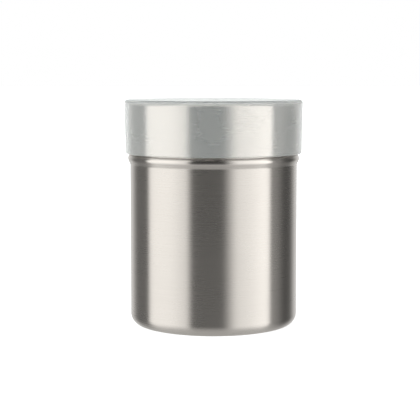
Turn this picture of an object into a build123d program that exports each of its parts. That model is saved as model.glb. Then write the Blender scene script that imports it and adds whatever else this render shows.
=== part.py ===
"""A sifting shaker for cocoa, icing sugar or ground spice.

A drawn steel can, a push-on steel cap whose sieve disc is held up by a pressed-in ring, and a
translucent dust cover that pushes over the cap.

Millimetres, +Z up, origin at the centre of the can's base. Every piece is turned about Z, and
its section is drawn as (radius, height).
"""
from build123d import *
from math import cos, hypot, radians
import os

# Driving dimensions
OVERALL_HEIGHT = 89.3        # base to the top of the dust cover
CAN_RADIUS = 33.0
SHEET = 0.5                  # steel of the can and the cap
BEAD_HEIGHT = 66.2           # middle of the rolled stop bead that the cap lands on

# Can
BASE_BEND = 4.55             # outer radius between base and wall
BEAD_HALF = 2.3              # half the height of the bead
BEAD_CORNER = 1.1            # how far its flanks would meet outside the wall
BEAD_CROWN = 1.8             # rounding that takes the corner down to 0.9 proud
BEAD_FOOT = 1.5
HEM_DEPTH = 2.4              # edge folded inwards so that the mouth isn't sharp
CAN_RIM = 84.6
RIM_ROUND = 0.3

# Cap
SLIP = 0.15                  # radial room of the cap's skirt on the can
CAP_INNER = CAN_RADIUS + SLIP
CAP_RADIUS = CAP_INNER + SHEET
CAP_MOUTH = BEAD_HEIGHT + BEAD_HALF
CAP_TOP = OVERALL_HEIGHT - 1.5
CAP_BEND = 0.8
WINDOW_RADIUS = 22.0         # round opening in the cap, filled by the sieve disc
EDGE_ROUND = 0.15

# Sieve disc
DISC_GAUGE = 0.4
DISC_RADIUS = 32.3
DISC_CROWN = 0.5             # rise of its pierced middle, level with the cap's top
CROWN_RADIUS = 21.5
HOLE_RADIUS = 0.7
HOLE_PITCH = 3.0             # staggered at 60 degrees
FIELD_RADIUS = 20.5          # no hole reaches past this

# Retaining ring
RING_RADIUS = CAP_INNER - 0.02
RING_HEIGHT = 1.6
RING_INNER = 29.5
RING_BEND = 0.8

# Dust cover
COVER_RADIUS = 35.2          # at the closed end; it narrows a little to grip the cap
COVER_MOUTH_RADIUS = 34.83
COVER_WALL = 1.0
COVER_TOP = 0.8
COVER_MOUTH = 68.2
COVER_BEND = 1.3
COVER_INNER_BEND = 0.5
COVER_EDGE = 0.25


def bent_sheet(outline, bends, gauge, ends=0.0):
    """Section of a sheet whose outer face follows outline, with gauge to the left of it.

    bends are the outer face's radii at the outline's inner points, and ends rounds the two
    corners of its last edge.
    """
    points = [Vector(*point) for point in outline]
    left = [(b - a).normalized().rotate(Axis.Z, 90) for a, b in zip(points, points[1:])]
    inner = [points[0] + left[0] * gauge]
    inner_bends = []
    for point, before, after, bend in zip(points[1:], left, left[1:], bends):
        inner.append(point + (before + after) * (gauge / (1 + before.dot(after))))
        turns_left = before.cross(after).Z > 0
        inner_bends.append(bend - gauge if turns_left else bend + gauge)
    inner.append(points[-1] + left[-1] * gauge)
    corners = points + inner[::-1]
    radii = [0, *bends, ends, ends, *inner_bends[::-1], 0]
    return make_face(FilletPolyline(*corners, radius=radii, close=True))


def turned(section):
    """Revolve a (radius, height) section about Z."""
    return revolve(Plane.XZ * section, Axis.Z)


def make_can_body():
    outline = [
        (0, 0),
        (CAN_RADIUS, 0),
        (CAN_RADIUS, BEAD_HEIGHT - BEAD_HALF),
        (CAN_RADIUS + BEAD_CORNER, BEAD_HEIGHT),
        (CAN_RADIUS, BEAD_HEIGHT + BEAD_HALF),
        (CAN_RADIUS, CAN_RIM),
    ]
    section = bent_sheet(outline, [BASE_BEND, BEAD_FOOT, BEAD_CROWN, BEAD_FOOT], SHEET)
    hem = Pos(CAN_RADIUS - 1.5 * SHEET, CAN_RIM - HEM_DEPTH / 2) * Rectangle(SHEET, HEM_DEPTH)
    section += hem
    return turned(fillet(section.vertices().group_by(Axis.Y)[-1], RIM_ROUND))


def make_cap_ring():
    outline = [(CAP_RADIUS, CAP_MOUTH), (CAP_RADIUS, CAP_TOP), (WINDOW_RADIUS, CAP_TOP)]
    return turned(bent_sheet(outline, [CAP_BEND], SHEET, EDGE_ROUND))


def crowned(height):
    """One face of the sieve disc's section: flat outside, arched over the pierced middle."""
    arch_radius = (CROWN_RADIUS**2 + DISC_CROWN**2) / (2 * DISC_CROWN)
    half_rise = arch_radius - (arch_radius**2 - CROWN_RADIUS**2 / 4) ** 0.5
    top = (0, height + DISC_CROWN)
    middle = (CROWN_RADIUS / 2, height + DISC_CROWN - half_rise)
    shoulder = (CROWN_RADIUS, height)
    return [ThreePointArc(top, middle, shoulder), Line(shoulder, (DISC_RADIUS, height))]


def hole_centres():
    """Centres of a 60-degree staggered pattern that keeps whole holes inside the field."""
    column_step = HOLE_PITCH * cos(radians(30))
    reach = int(FIELD_RADIUS / column_step) + 1
    for column in range(-reach, reach + 1):
        for row in range(-reach, reach + 1):
            x = column * column_step
            y = (row + column % 2 / 2) * HOLE_PITCH
            if hypot(x, y) + HOLE_RADIUS <= FIELD_RADIUS:
                yield x, y


def make_sieve_disc():
    upper = CAP_TOP - SHEET
    lower = upper - DISC_GAUGE
    outer_edge = Line((DISC_RADIUS, lower), (DISC_RADIUS, upper))
    on_axis = Line((0, lower + DISC_CROWN), (0, upper + DISC_CROWN))
    blank = turned(make_face([*crowned(upper), *crowned(lower), outer_edge, on_axis]))
    punches = Sketch() + [Pos(x, y) * Circle(HOLE_RADIUS) for x, y in hole_centres()]
    return blank - extrude(Pos(0, 0, lower) * punches, DISC_GAUGE + 2 * DISC_CROWN)


def make_retaining_ring():
    top = CAP_TOP - SHEET - DISC_GAUGE
    outline = [(RING_RADIUS, top - RING_HEIGHT), (RING_RADIUS, top), (RING_INNER, top)]
    return turned(bent_sheet(outline, [RING_BEND], SHEET, EDGE_ROUND))


def make_dust_cover():
    ceiling = OVERALL_HEIGHT - COVER_TOP
    corners = [
        (0, OVERALL_HEIGHT),
        (COVER_RADIUS, OVERALL_HEIGHT),
        (COVER_MOUTH_RADIUS, COVER_MOUTH),
        (COVER_MOUTH_RADIUS - COVER_WALL, COVER_MOUTH),
        (COVER_RADIUS - COVER_WALL, ceiling),
        (0, ceiling),
    ]
    radii = [0, COVER_BEND, COVER_EDGE, COVER_EDGE, COVER_INNER_BEND, 0]
    return turned(make_face(FilletPolyline(*corners, radius=radii, close=True)))


PIECES = {
    "can_body": make_can_body,
    "cap_ring": make_cap_ring,
    "sieve_disc": make_sieve_disc,
    "retaining_ring": make_retaining_ring,
    "dust_cover": make_dust_cover,
}


def main():
    os.makedirs("parts", exist_ok=True)
    for name, make in PIECES.items():
        piece = make()
        piece.label = name
        export_step(piece, f"parts/{name}.step")
        size = piece.bounding_box().size
        print(f"{name}: {piece.volume:.1f} mm3, {size.X:.2f} x {size.Y:.2f} x {size.Z:.2f} mm")


main()
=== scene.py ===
"""A sifting shaker: brushed steel can and cap, pierced sieve, translucent push-on dust cover.

Metres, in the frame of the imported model. Every piece is turned about Z.
"""

from math import acos, ceil, cos, degrees, pi, radians, sin, tan

import bpy
from mathutils import Matrix, Vector


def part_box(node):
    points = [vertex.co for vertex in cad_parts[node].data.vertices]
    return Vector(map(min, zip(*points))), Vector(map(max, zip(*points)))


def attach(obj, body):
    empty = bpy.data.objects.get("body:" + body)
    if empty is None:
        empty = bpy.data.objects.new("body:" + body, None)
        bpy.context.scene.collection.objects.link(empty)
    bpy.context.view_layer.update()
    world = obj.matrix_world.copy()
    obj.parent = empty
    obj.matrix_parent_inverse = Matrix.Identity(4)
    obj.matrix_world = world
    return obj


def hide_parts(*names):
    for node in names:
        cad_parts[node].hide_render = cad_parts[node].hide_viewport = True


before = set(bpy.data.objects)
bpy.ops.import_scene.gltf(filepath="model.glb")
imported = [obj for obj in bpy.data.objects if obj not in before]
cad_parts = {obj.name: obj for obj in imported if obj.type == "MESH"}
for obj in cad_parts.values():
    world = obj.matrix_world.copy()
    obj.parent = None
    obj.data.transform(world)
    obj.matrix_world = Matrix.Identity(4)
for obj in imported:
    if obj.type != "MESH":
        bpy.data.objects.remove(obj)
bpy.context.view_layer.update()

MM = 0.001

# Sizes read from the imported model
CAN_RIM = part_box("can_body")[1].z
BEAD_CROWN_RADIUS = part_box("can_body")[1].x
CAP_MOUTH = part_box("cap_ring")[0].z
CAP_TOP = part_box("cap_ring")[1].z
CAP_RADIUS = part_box("cap_ring")[1].x
DISC_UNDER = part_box("sieve_disc")[0].z
DISC_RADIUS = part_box("sieve_disc")[1].x
RING_FOOT, RING_TOP = (corner.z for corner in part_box("retaining_ring"))
RING_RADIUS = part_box("retaining_ring")[1].x
COVER_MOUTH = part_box("dust_cover")[0].z
COVER_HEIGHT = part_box("dust_cover")[1].z

# Sheet metal
GAUGE = 0.5 * MM
SLIP = 0.15 * MM                     # radial room between the can and the cap
CAN_RADIUS = CAP_RADIUS - GAUGE - SLIP
BASE_BEND = 4.55 * MM
BEAD_HALF = 2.3 * MM
BEAD_HEIGHT = CAP_MOUTH - BEAD_HALF
BEAD_CORNER = 1.1 * MM
BEAD_BEND = 1.8 * MM
BEAD_FOOT_BEND = 1.5 * MM
HEM_DEPTH = 2.4 * MM
RIM_BEND = 0.25 * MM
CAP_BEND = 0.8 * MM
WINDOW_RADIUS = 22.0 * MM
CUT_EDGE = 0.15 * MM
RING_INNER = 29.5 * MM
RING_BEND = 0.8 * MM

# Sieve disc
DISC_GAUGE = 0.4 * MM
CROWN_RISE = 0.5 * MM
CROWN_RADIUS = 21.5 * MM
HOLE_PITCH = 3.0 * MM
HOLE_RADIUS = 0.7 * MM
HOLE_SIDES = 16
HOLE_LIP = 0.12 * MM
HOLE_COLLAR = 0.08 * MM
FIELD_RADIUS = 20.5 * MM
FIELD_RIM = 20.9 * MM

# Dust cover
COVER_RADIUS = 35.2 * MM
COVER_MOUTH_RADIUS = 34.83 * MM
COVER_WALL = 1.0 * MM
COVER_TOP = 0.8 * MM
COVER_BEND = 1.3 * MM
COVER_INNER_BEND = 0.5 * MM
COVER_EDGE = 0.25 * MM
GATE_RIM = 2.2 * MM                  # shallow dimple where the plastic was let in
GATE_FLOOR = 1.65 * MM
GATE_DEPTH = 0.2 * MM
STUB_FOOT = 0.6 * MM                 # cut stub left in its middle
STUB_TOP = 0.48 * MM
STUB_DEPTH = 0.04 * MM               # how far the stub stays below the cover's top
GATE_BEND = 0.06 * MM

# Turning
SEGMENTS = 288
ARC_STEP = radians(9)
FEWEST_STEPS = 3                     # in an arc of a section
WELD = 1e-6
SHARP = radians(50)


# Sockets and trees

COLOUR_A, COLOUR_B, COLOUR_OUT = 6, 7, 2      # a Mix node's colour sockets
GENERATED, OBJECT = 0, 3                      # outputs of a Texture Coordinate node
CAMERA_RAY, DIFFUSE_RAY = 0, 2                # outputs of a Light Path node


class Socket:
    """An output socket of a node tree; arithmetic on it adds Math nodes."""

    def __init__(self, tree, socket=None):
        self.tree = tree
        self.socket = socket

    def node(self, kind, settings=None, inputs=None, output=0):
        """Add a node: its settings first, then its inputs, where a list of sockets is joined."""
        made = self.tree.nodes.new(kind)
        for name, value in (settings or {}).items():
            setattr(made, name, value)
        for key, value in (inputs or {}).items():
            if isinstance(value, (Socket, list)):
                for source in value if isinstance(value, list) else [value]:
                    self.tree.links.new(source.socket, made.inputs[key])
            else:
                made.inputs[key].default_value = value
        return Socket(self.tree, made.outputs[output] if made.outputs else None)

    def maths(self, operation, *values):
        return self.node("ShaderNodeMath", {"operation": operation}, dict(enumerate(values)))

    def step(self, low, high, start=0.0, end=1.0):
        """A smooth change from start to end while this socket goes from low to high."""
        return self.node(
            "ShaderNodeMapRange",
            {"interpolation_type": "SMOOTHSTEP"},
            {"Value": self, "From Min": low, "From Max": high, "To Min": start, "To Max": end},
        )

    def span(self, rise, full, fall, gone):
        """1 from full to fall, with smooth flanks that reach 0 at rise and at gone."""
        return self.step(rise, full) * self.step(fall, gone, 1, 0)

    def __add__(self, other):
        return self.maths("ADD", self, other)

    __radd__ = __add__

    def __mul__(self, other):
        return self.maths("MULTIPLY", self, other)

    __rmul__ = __mul__

    def __sub__(self, other):
        return self.maths("SUBTRACT", self, other)

    def __rsub__(self, other):
        return self.maths("SUBTRACT", other, self)

    def __truediv__(self, other):
        return self.maths("DIVIDE", self, other)

    def __pow__(self, other):
        return self.maths("POWER", self, other)


def separated(vector):
    """The X, Y and Z of a vector socket."""
    split = vector.node("ShaderNodeSeparateXYZ", inputs={"Vector": vector})
    return [Socket(vector.tree, output) for output in split.socket.node.outputs]


def combined(x, y, z):
    return x.node("ShaderNodeCombineXYZ", inputs={"X": x, "Y": y, "Z": z})


def mixed(factor, first, second):
    """Blend two colours, as sockets or plain values, by a factor socket."""
    return factor.node(
        "ShaderNodeMix",
        {"data_type": "RGBA"},
        {"Factor": factor, COLOUR_A: first, COLOUR_B: second},
        output=COLOUR_OUT,
    )


def new_shader(owner):
    """Clear the node tree of a material or world and return it as a Socket to build from."""
    owner.use_nodes = True
    owner.node_tree.nodes.clear()
    return Socket(owner.node_tree)


# Camera and studio


CAMERA_PLACE = (-1.43 * MM, -545 * MM, 100.45 * MM)
CAMERA_PITCH = radians(5.768)        # down from level
FOCAL_FRAMES = 1376.2 / 420          # focal length over the width of the frame
SENSOR = 36.0

BOX_LIGHT = 1.34
BOX_DROP = 0.12                      # how much dimmer the boxes are below the horizon
FRONT_DARK = 0.06
FRONT_RISE = 0.10                    # how much brighter the front is below the horizon
SIDE_DARK = 0.18
RIGHT_GLOW = 0.15
CORNER_DARKER = 0.08
BACKDROP_LIGHT = 0.6
CEILING_LIGHT = 0.7
GROUND_LIGHT = 0.6
SHADE_CUT = 0.10                     # how much less of the room dull surfaces get

FILL_STRENGTH = 4.8
FILL_SPREAD = radians(50)
FILL_TINT = (0.82, 1.0, 1.0)
FILL_WAY = (0.15, 0.9, -0.12)

FLOOR_HALF = 8.0
FLOOR_GLOW = 0.65


def make_camera():
    camera = bpy.data.objects.new("camera", bpy.data.cameras.new("camera"))
    bpy.context.scene.collection.objects.link(camera)
    camera.location = CAMERA_PLACE
    camera.rotation_euler = (pi / 2 - CAMERA_PITCH, 0, 0)
    camera.data.sensor_width = SENSOR
    camera.data.lens = SENSOR * FOCAL_FRAMES
    camera.data.clip_start = 0.01
    bpy.context.scene.camera = camera


def make_room():
    """A dim room with a tall soft box each side of the front, a white backdrop and a ceiling.

    Bearings are in degrees round Z, 0 towards the front (-Y) and 90 towards +X, and heights are
    in degrees above the horizon.
    """
    world = bpy.data.worlds.new("studio")
    bpy.context.scene.world = world
    shader = new_shader(world)
    x, y, z = separated(shader.node("ShaderNodeTexCoord", output=GENERATED))
    bearing = x.maths("ARCTAN2", x, 0 - y) * degrees(1)
    height = z.maths("ARCSINE", z) * degrees(1)
    left_box = bearing.span(-105, -96, -40, -28) * bearing.step(-70, -30, 1, 0.78)
    right_box = bearing.span(10, 36, 81, 87) * bearing.step(30, 80, 0.84, 1.08)
    boxes = left_box + right_box
    front = bearing.span(-60, -35, 15, 50)
    glow = bearing.span(50, 85, 92, 116)
    corner = bearing.span(90, 120, 120, 150)
    backdrop = bearing.maths("ABSOLUTE", bearing).step(128, 158)
    walls = boxes * BOX_LIGHT + backdrop * BACKDROP_LIGHT + SIDE_DARK
    walls = walls - front * (SIDE_DARK - FRONT_DARK) - corner * CORNER_DARKER + glow * RIGHT_GLOW
    below = height.step(-30, 3, 1, 0)
    walls = walls + below * (front * FRONT_RISE - boxes * BOX_DROP)
    upper = height.step(60, 82)
    lower = height.step(-50, -18, 1, 0)
    light = walls * (1 - upper) * (1 - lower) + upper * CEILING_LIGHT + lower * GROUND_LIGHT
    seen = shader.node("ShaderNodeLightPath", output=CAMERA_RAY)
    shaded = shader.node("ShaderNodeLightPath", output=DIFFUSE_RAY)
    light = light * (1 - seen) * (1 - shaded * SHADE_CUT) + seen
    room = shader.node("ShaderNodeBackground", inputs={"Color": (1, 1, 1, 1), "Strength": light})
    shader.node("ShaderNodeOutputWorld", inputs={"Surface": room})
    world.cycles.sampling_method = "NONE"


def make_fill():
    """A broad even light from the front that the steel doesn't mirror."""
    lamp = bpy.data.lights.new("fill", "SUN")
    lamp.energy = FILL_STRENGTH
    lamp.angle = FILL_SPREAD
    lamp.color = FILL_TINT
    fill = bpy.data.objects.new("fill", lamp)
    bpy.context.scene.collection.objects.link(fill)
    fill.rotation_euler = Vector(FILL_WAY).to_track_quat("-Z", "Y").to_euler()
    fill.visible_glossy = False
    fill.visible_transmission = False


def make_floor():
    low, high = -FLOOR_HALF, FLOOR_HALF
    corners = [(low, low, 0), (high, low, 0), (high, high, 0), (low, high, 0)]
    mesh = bpy.data.meshes.new("floor")
    mesh.from_pydata(corners, [], [(0, 1, 2, 3)])
    floor = bpy.data.objects.new("floor", mesh)
    bpy.context.scene.collection.objects.link(floor)
    material = bpy.data.materials.new("white paper")
    shader = new_shader(material)
    grain = shader.node("ShaderNodeTexNoise", inputs={"Scale": 900.0, "Detail": 3.0})
    paper = mixed(grain, (0.9, 0.9, 0.9, 1), (0.93, 0.93, 0.93, 1))
    surface = shader.node(
        "ShaderNodeBsdfPrincipled",
        inputs={
            "Base Color": paper,
            "Roughness": 0.9,
            "Emission Color": (1, 1, 1, 1),
            "Emission Strength": FLOOR_GLOW,
        },
    )
    shader.node("ShaderNodeOutputMaterial", inputs={"Surface": surface})
    mesh.materials.append(material)
    floor.visible_glossy = False
    floor.visible_transmission = False


def make_studio():
    make_camera()
    make_room()
    make_floor()
    make_fill()
    bpy.context.scene.view_settings.view_transform = "Standard"


# Materials


FINE_TONE, COARSE_TONE = 0.6, 0.3    # how far fine and coarse brush lines shift the colour
WORN_TONE = 0.3
LINE_GLOSS, SMUDGE_GLOSS, WORN_GLOSS = 0.08, 0.06, 0.06      # and the roughness
LINE_RELIEF = 0.12
GRAIN_RELIEF = 0.15
WAVE_RELIEF = 0.03
RELIEF_DEPTH = 0.01 * MM


def surface_places(shader, run_sign):
    """Object coordinates, the radius from Z, and the distance along a turned section."""
    place = shader.node("ShaderNodeTexCoord", output=OBJECT)
    x, y, z = separated(place)
    radius = (x * x + y * y) ** 0.5
    return x, y, z, radius, z + radius * run_sign


def lines_round(x, y, run, length, width, detail):
    """Noise drawn out around Z: streaks about length long and width apart."""
    stretched = combined(x / length, y / length, run / width)
    return x.node("ShaderNodeTexNoise", inputs={"Vector": stretched, "Scale": 1.0, "Detail": detail})


def bumped(height, strength):
    """A normal that follows a height socket."""
    return height.node(
        "ShaderNodeBump", inputs={"Strength": strength, "Distance": RELIEF_DEPTH, "Height": height}
    )


def brushed_steel(name, dark, bright, roughness, run_sign=1, depth=1.0, polish=None):
    """Steel brushed round its axis, smudged, and worn bright between the two radii of polish.

    run_sign is 1 where the sheet runs up and out, -1 where it runs up and in, and depth is how
    hard it was brushed.
    """
    material = bpy.data.materials.new(name)
    shader = new_shader(material)
    x, y, z, radius, run = surface_places(shader, run_sign)
    fine = lines_round(x, y, run, length=18 * MM, width=0.16 * MM, detail=3.0)
    coarse = lines_round(x, y, run, length=30 * MM, width=0.8 * MM, detail=4.0)
    smudge = shader.node(
        "ShaderNodeTexNoise", inputs={"Vector": combined(x, y, z), "Scale": 55.0, "Detail": 2.0}
    )
    streak = (fine - 0.5) * (FINE_TONE * depth) + (coarse - 0.5) * (COARSE_TONE * depth)
    tone = streak + 0.5
    rough = streak * LINE_GLOSS + (smudge - 0.5) * SMUDGE_GLOSS + roughness
    if polish:
        worn = radius.step(*polish)
        tone = tone + worn * WORN_TONE
        rough = rough - worn * WORN_GLOSS
    relief = bumped(coarse * 0.5 + fine * 0.5, LINE_RELIEF * depth)
    steel = shader.node(
        "ShaderNodeBsdfPrincipled",
        inputs={
            "Base Color": mixed(tone, dark, bright),
            "Metallic": 1.0,
            "Roughness": rough,
            "Anisotropic": 0.95,
            "Anisotropic Rotation": 0.25,
            "Normal": relief,
        },
    )
    shader.node("ShaderNodeOutputMaterial", inputs={"Surface": steel})
    return material


def frosted_plastic(name):
    """Thin translucent polythene: a little milky, softly glossy, duller at its rim, faintly scuffed."""
    material = bpy.data.materials.new(name)
    shader = new_shader(material)
    x, y, z, radius, run = surface_places(shader, -1)
    place = combined(x, y, z)
    cloud = shader.node("ShaderNodeTexNoise", inputs={"Vector": place, "Scale": 90.0, "Detail": 3.0})
    scuffs = lines_round(x, y, run, length=5 * MM, width=0.25 * MM, detail=2.0).step(0.68, 0.78)
    wave = shader.node("ShaderNodeTexNoise", inputs={"Vector": place, "Scale": 420.0, "Detail": 1.0})
    rim = z.step(COVER_HEIGHT - COVER_BEND - 0.4 * MM, COVER_HEIGHT - COVER_BEND / 2)
    rim = rim * radius.step(COVER_RADIUS - 1.6 * MM, COVER_RADIUS - 0.8 * MM)
    colour = mixed(cloud, (0.983, 0.983, 0.980, 1), (0.993, 0.993, 0.989, 1))
    body = shader.node(
        "ShaderNodeBsdfPrincipled",
        inputs={
            "Base Color": colour,
            "Roughness": 0.10 + (cloud - 0.5) * 0.03 + scuffs * 0.02 + rim * 0.25,
            "IOR": 1.4,
            "Sheen Weight": 0.30,
            "Sheen Roughness": 0.62,
            "Sheen Tint": (1.0, 0.97, 0.94, 1),
            "Transmission Weight": 0.92,
            "Normal": bumped(wave, WAVE_RELIEF),
        },
    )
    shader.node("ShaderNodeOutputMaterial", inputs={"Surface": body})
    return material


def rolled_steel(name, dark, bright, roughness):
    """Thin sheet straight from the roll: a faint straight grain along X and a soft even gloss."""
    material = bpy.data.materials.new(name)
    shader = new_shader(material)
    place = shader.node("ShaderNodeTexCoord", output=OBJECT)
    x, y, z = separated(place)
    grain = shader.node(
        "ShaderNodeTexNoise",
        inputs={"Vector": combined(x / (9 * MM), y / (0.15 * MM), z), "Scale": 1.0, "Detail": 3.0},
    )
    smudge = shader.node("ShaderNodeTexNoise", inputs={"Vector": place, "Scale": 130.0, "Detail": 3.0})
    steel = shader.node(
        "ShaderNodeBsdfPrincipled",
        inputs={
            "Base Color": mixed(grain * 0.6 + smudge * 0.4, dark, bright),
            "Metallic": 1.0,
            "Roughness": (grain - 0.5) * 0.1 + (smudge - 0.5) * 0.12 + roughness,
            "Normal": bumped(grain, GRAIN_RELIEF),
        },
    )
    shader.node("ShaderNodeOutputMaterial", inputs={"Surface": steel})
    return material


# Sections, as (radius, height) points


def rounded(corners, bends):
    """Points along a line through corners, each inner corner rounded to its bend radius."""
    points = [Vector(corners[0])]
    for before, corner, after, bend in zip(corners, corners[1:], corners[2:], bends):
        corner = Vector(corner)
        back = (Vector(before) - corner).normalized()
        ahead = (Vector(after) - corner).normalized()
        half = acos(max(-1.0, min(1.0, back.dot(ahead)))) / 2
        if bend <= 0:
            points.append(corner)
            continue
        centre = corner + (back + ahead).normalized() * (bend / sin(half))
        spoke = corner + back * (bend / tan(half)) - centre
        sweep = pi - 2 * half
        turn = sweep if back.cross(ahead) < 0 else -sweep
        steps = max(FEWEST_STEPS, ceil(sweep / ARC_STEP))
        points += [centre + Matrix.Rotation(turn * i / steps, 2) @ spoke for i in range(steps + 1)]
    return points + [Vector(corners[-1])]


def inner_line(outline, bends, gauge):
    """The corners and bends of the line gauge to the left of outline."""
    points = [Vector(point) for point in outline]
    left = []
    for a, b in zip(points, points[1:]):
        along = (b - a).normalized()
        left.append(Vector((-along.y, along.x)))
    corners, inner_bends = [points[0] + left[0] * gauge], []
    for point, before, after, bend in zip(points[1:], left, left[1:], bends):
        corners.append(point + (before + after) * (gauge / (1 + before.dot(after))))
        inner_bends.append(bend - gauge if before.cross(after) > 0 else bend + gauge)
    return corners + [points[-1] + left[-1] * gauge], inner_bends


def sheet_section(outline, bends, gauge, cut=0.0):
    """The corners and bends of a bent sheet's section, the corners of its far end rounded by cut."""
    inner, inner_bends = inner_line(outline, bends, gauge)
    corners = [*outline, *inner[::-1]]
    radii = [*bends, cut, cut, *inner_bends[::-1]]
    return corners, radii


def can_section():
    outline = [
        (0, 0),
        (CAN_RADIUS, 0),
        (CAN_RADIUS, BEAD_HEIGHT - BEAD_HALF),
        (CAN_RADIUS + BEAD_CORNER, BEAD_HEIGHT),
        (CAN_RADIUS, BEAD_HEIGHT + BEAD_HALF),
        (CAN_RADIUS, CAN_RIM),
    ]
    bends = [BASE_BEND, BEAD_FOOT_BEND, BEAD_BEND, BEAD_FOOT_BEND]
    inner, inner_bends = inner_line(outline, bends, GAUGE)
    hem_radius = CAN_RADIUS - 2 * GAUGE
    hem = [(hem_radius, CAN_RIM), (hem_radius, CAN_RIM - HEM_DEPTH)]
    step = (CAN_RADIUS - GAUGE, CAN_RIM - HEM_DEPTH)
    corners = [*outline, *hem, step, *inner[-2::-1]]
    radii = [*bends, RIM_BEND, RIM_BEND, CUT_EDGE, 0, *inner_bends[::-1]]
    return rounded(corners, radii)


def cap_section():
    outline = [(CAP_RADIUS, CAP_MOUTH), (CAP_RADIUS, CAP_TOP), (WINDOW_RADIUS, CAP_TOP)]
    return loop(*sheet_section(outline, [CAP_BEND], GAUGE, CUT_EDGE))


def ring_section():
    outline = [(RING_RADIUS, RING_FOOT), (RING_RADIUS, RING_TOP), (RING_INNER, RING_TOP)]
    return loop(*sheet_section(outline, [RING_BEND], GAUGE, CUT_EDGE))


def loop(corners, bends):
    """A closed section whose first and last corners stay sharp."""
    return rounded([*corners, corners[0]], [*bends, 0])


def margin_section():
    """The sieve's plain outer part, round its edge from the underside to the top."""
    spots = [FIELD_RIM, CROWN_RADIUS, DISC_RADIUS]
    return [Vector((r, -DISC_GAUGE)) for r in spots] + [Vector((r, 0)) for r in spots[::-1]]


def cover_section():
    ceiling = COVER_HEIGHT - COVER_TOP
    corners = [
        (0, ceiling),
        (COVER_RADIUS - COVER_WALL, ceiling),
        (COVER_MOUTH_RADIUS - COVER_WALL, COVER_MOUTH),
        (COVER_MOUTH_RADIUS, COVER_MOUTH),
        (COVER_RADIUS, COVER_HEIGHT),
        (GATE_RIM, COVER_HEIGHT),
        (GATE_FLOOR, COVER_HEIGHT - GATE_DEPTH),
        (STUB_FOOT, COVER_HEIGHT - GATE_DEPTH),
        (STUB_TOP, COVER_HEIGHT - STUB_DEPTH),
        (0, COVER_HEIGHT - STUB_DEPTH),
    ]
    radii = [COVER_INNER_BEND, COVER_EDGE, COVER_EDGE, COVER_BEND, *[GATE_BEND] * 4]
    return rounded(corners, radii)


# Geometry trees


PATH_RADIUS = 10 * MM
LIP_STEPS = 3


def new_tree(name, sizes):
    """A geometry tree with a named input for each size, and its group input sockets by name."""
    tree = bpy.data.node_groups.new(name, "GeometryNodeTree")
    wanted = {"Geometry": "Geometry", **sizes, "Finish": "Material"}
    for label, kind in wanted.items():
        tree.interface.new_socket(label, in_out="INPUT", socket_type="NodeSocket" + kind)
    tree.interface.new_socket("Geometry", in_out="OUTPUT", socket_type="NodeSocketGeometry")
    given = tree.nodes.new("NodeGroupInput")
    return Socket(tree), {label: Socket(tree, given.outputs[label]) for label in wanted}


def turned_round(section, segments):
    """Sweep a section curve round Z: its X is the radius and its Y the height."""
    moved = section.node(
        "GeometryNodeTransform",
        inputs={"Geometry": section, "Translation": (-PATH_RADIUS, 0, 0), "Rotation": (pi, 0, 0)},
    )
    circle = section.node(
        "GeometryNodeCurvePrimitiveCircle", inputs={"Resolution": segments, "Radius": PATH_RADIUS}
    )
    path = section.node("GeometryNodeSetCurveNormal", {"mode": "Z_UP"}, {"Curve": circle})
    skin = section.node("GeometryNodeCurveToMesh", inputs={"Curve": path, "Profile Curve": moved})
    return section.node("GeometryNodeFlipFaces", inputs={"Mesh": skin})


def close_tree(geometry, finish):
    """Weld, realize and set the material: the end of every geometry tree."""
    welded = geometry.node("GeometryNodeMergeByDistance", inputs={"Geometry": geometry, "Distance": WELD})
    plain = welded.node("GeometryNodeRealizeInstances", inputs={"Geometry": welded})
    done = plain.node("GeometryNodeSetMaterial", inputs={"Geometry": plain, "Material": finish})
    done.node("NodeGroupOutput", inputs={"Geometry": done})


def filled(curves, level):
    """Flat faces inside an outer curve and outside the curves in it, moved to a height."""
    joined = curves[0].node("GeometryNodeJoinGeometry", inputs={"Geometry": curves})
    face = joined.node("GeometryNodeFillCurve", inputs={"Curve": joined})
    up = combined(level * 0, level * 0, level)
    return face.node("GeometryNodeTransform", inputs={"Geometry": face, "Translation": up})


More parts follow.
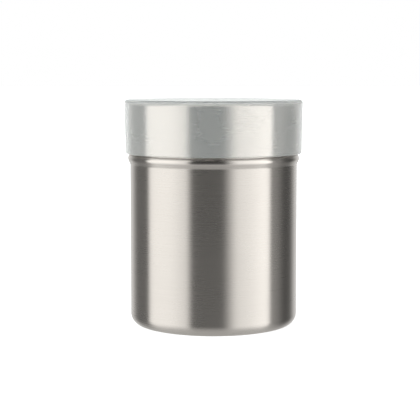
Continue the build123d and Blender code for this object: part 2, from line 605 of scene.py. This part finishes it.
def sieve_tree():
    """A crowned disc with a staggered field of punched holes, inside a turned margin."""
    sizes = ["Pitch", "Hole Radius", "Hole Lip", "Hole Collar", "Field Radius", "Field Rim"]
    sizes += ["Crown Radius", "Crown Rise", "Gauge", "Height"]
    counts = ["Lattice Side", "Hole Sides", "Segments"]
    root, given = new_tree(
        "pierced sieve", {**dict.fromkeys(sizes, "Float"), **dict.fromkeys(counts, "Int")}
    )
    side, hole, gauge = given["Lattice Side"], given["Hole Radius"], given["Gauge"]
    index = root.node("GeometryNodeInputIndex")
    middle = (side - 1) / 2
    column = root.maths("FLOOR", index / side) - middle
    row = root.maths("FLOORED_MODULO", index, side) - middle
    stagger = root.maths("FLOORED_MODULO", column, 2) / 2
    spot = combined(column * given["Pitch"] * cos(radians(30)), (row + stagger) * given["Pitch"], side * 0)
    lattice = root.node("GeometryNodePoints", inputs={"Count": side * side, "Position": spot})
    x, y, _ = separated(root.node("GeometryNodeInputPosition"))
    radius = (x * x + y * y) ** 0.5
    outside = root.maths("GREATER_THAN", radius, given["Field Radius"] - hole)
    centres = root.node(
        "GeometryNodeDeleteGeometry", {"domain": "POINT"}, {"Geometry": lattice, "Selection": outside}
    )

    def at_centres(shape):
        spread = root.node("GeometryNodeInstanceOnPoints", inputs={"Points": centres, "Instance": shape})
        return root.node("GeometryNodeRealizeInstances", inputs={"Geometry": spread})

    def circle(size, sides):
        return root.node("GeometryNodeCurvePrimitiveCircle", inputs={"Resolution": sides, "Radius": size})

    def point(across, up):
        return combined(across, up, up * 0)

    lip, flat = hole + given["Hole Lip"], hole * 0
    collar = lip + given["Hole Collar"]
    ledge = root.node(
        "GeometryNodeCurvePrimitiveLine", inputs={"Start": point(collar, flat), "End": point(lip, flat)}
    )
    drawn_in = root.node(
        "GeometryNodeCurveQuadraticBezier",
        inputs={
            "Resolution": LIP_STEPS,
            "Start": point(lip, flat),
            "Middle": point(hole, flat),
            "End": point(hole, 0 - gauge),
        },
    )
    edge = root.node("GeometryNodeJoinGeometry", inputs={"Geometry": [ledge, drawn_in]})
    lips = at_centres(turned_round(edge, given["Hole Sides"]))
    rim = circle(given["Field Rim"], given["Segments"])
    upper = filled([rim, at_centres(circle(collar, given["Hole Sides"]))], flat)
    lower = filled([rim, at_centres(circle(hole, given["Hole Sides"]))], 0 - gauge)
    lower = root.node("GeometryNodeFlipFaces", inputs={"Mesh": lower})
    section = root.node("GeometryNodeMeshToCurve", inputs={"Mesh": given["Geometry"]})
    margin = turned_round(section, given["Segments"])
    disc = root.node("GeometryNodeJoinGeometry", inputs={"Geometry": [upper, lower, lips, margin]})
    rise = given["Crown Rise"]
    arch = (given["Crown Radius"] ** 2 + rise ** 2) / (rise * 2)
    dome = root.maths("MAXIMUM", arch ** 2 - radius ** 2, 0.0) ** 0.5 - arch + rise
    lift = root.maths("MAXIMUM", dome, 0.0) + given["Height"]
    raised = root.node(
        "GeometryNodeSetPosition", inputs={"Geometry": disc, "Offset": combined(flat, flat, lift)}
    )
    close_tree(raised, given["Finish"])
    return root.tree


def turning_tree():
    root, given = new_tree("turned piece", {"Segments": "Int"})
    section = root.node("GeometryNodeMeshToCurve", inputs={"Mesh": given["Geometry"]})
    close_tree(turned_round(section, given["Segments"]), given["Finish"])
    return root.tree


# Pieces


def finished(name, section, tree, sizes, finish):
    """Run a geometry tree on a section and return the result as a plain, smooth-shaded mesh."""
    lines = bpy.data.meshes.new(name)
    count = len(section)
    lines.from_pydata([(p.x, p.y, 0) for p in section], [(i, i + 1) for i in range(count - 1)], [])
    piece = bpy.data.objects.new(name, lines)
    bpy.context.scene.collection.objects.link(piece)
    modifier = piece.modifiers.new("build", "NODES")
    modifier.node_group = tree
    values = {**sizes, "Finish": finish}
    for socket in tree.interface.items_tree:
        if socket.in_out == "INPUT" and socket.name in values:
            modifier[socket.identifier] = values[socket.name]
    shape = piece.evaluated_get(bpy.context.evaluated_depsgraph_get())
    mesh = bpy.data.meshes.new_from_object(shape)
    mesh.name = name
    piece.modifiers.clear()
    piece.data = mesh
    mesh.materials.clear()
    mesh.materials.append(finish)
    for face in mesh.polygons:
        face.material_index = 0
    mesh.shade_smooth()
    mesh.set_sharp_from_angle(angle=SHARP)
    return piece


def place(piece, body, node, slot):
    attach(piece, body)
    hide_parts(node)


def make_pieces():
    can_steel = brushed_steel(
        "brushed can steel", (0.57, 0.54, 0.50, 1), (0.67, 0.635, 0.59, 1), 0.28,
        polish=(CAN_RADIUS + 0.3 * MM, BEAD_CROWN_RADIUS),
    )
    cap_steel = brushed_steel(
        "brushed cap steel", (0.73, 0.68, 0.625, 1), (0.77, 0.72, 0.665, 1), 0.27, run_sign=-1,
        depth=0.4,
    )
    turning = turning_tree()
    round_sizes = {"Segments": SEGMENTS}
    can = finished("drawn_can", can_section(), turning, round_sizes, can_steel)
    place(can, "can", "can_body", "can_steel")
    cap = finished("cap_shell", cap_section(), turning, round_sizes, cap_steel)
    place(cap, "cap", "cap_ring", "cap_steel")
    ring_steel = brushed_steel("plain ring steel", (0.46, 0.44, 0.41, 1), (0.60, 0.58, 0.54, 1), 0.34)
    ring = finished("press_ring", ring_section(), turning, round_sizes, ring_steel)
    place(ring, "cap", "retaining_ring", "ring_steel")
    sieve_sizes = {
        "Pitch": HOLE_PITCH,
        "Hole Radius": HOLE_RADIUS,
        "Hole Lip": HOLE_LIP,
        "Hole Collar": HOLE_COLLAR,
        "Field Radius": FIELD_RADIUS,
        "Field Rim": FIELD_RIM,
        "Crown Radius": CROWN_RADIUS,
        "Crown Rise": CROWN_RISE,
        "Gauge": DISC_GAUGE,
        "Height": DISC_UNDER + DISC_GAUGE,
        "Lattice Side": 2 * ceil(FIELD_RADIUS / HOLE_PITCH / cos(radians(30))) + 1,
        "Hole Sides": HOLE_SIDES,
        "Segments": SEGMENTS,
    }
    sieve_steel = rolled_steel("rolled sieve steel", (0.62, 0.60, 0.57, 1), (0.74, 0.72, 0.68, 1), 0.24)
    sieve = finished("pierced_sieve", margin_section(), sieve_tree(), sieve_sizes, sieve_steel)
    place(sieve, "cap", "sieve_disc", "sieve_steel")
    cover = finished(
        "frosted_cover", cover_section(), turning, round_sizes, frosted_plastic("frosted plastic")
    )
    place(cover, "cover", "dust_cover", "cover_plastic")


make_studio()
make_pieces()
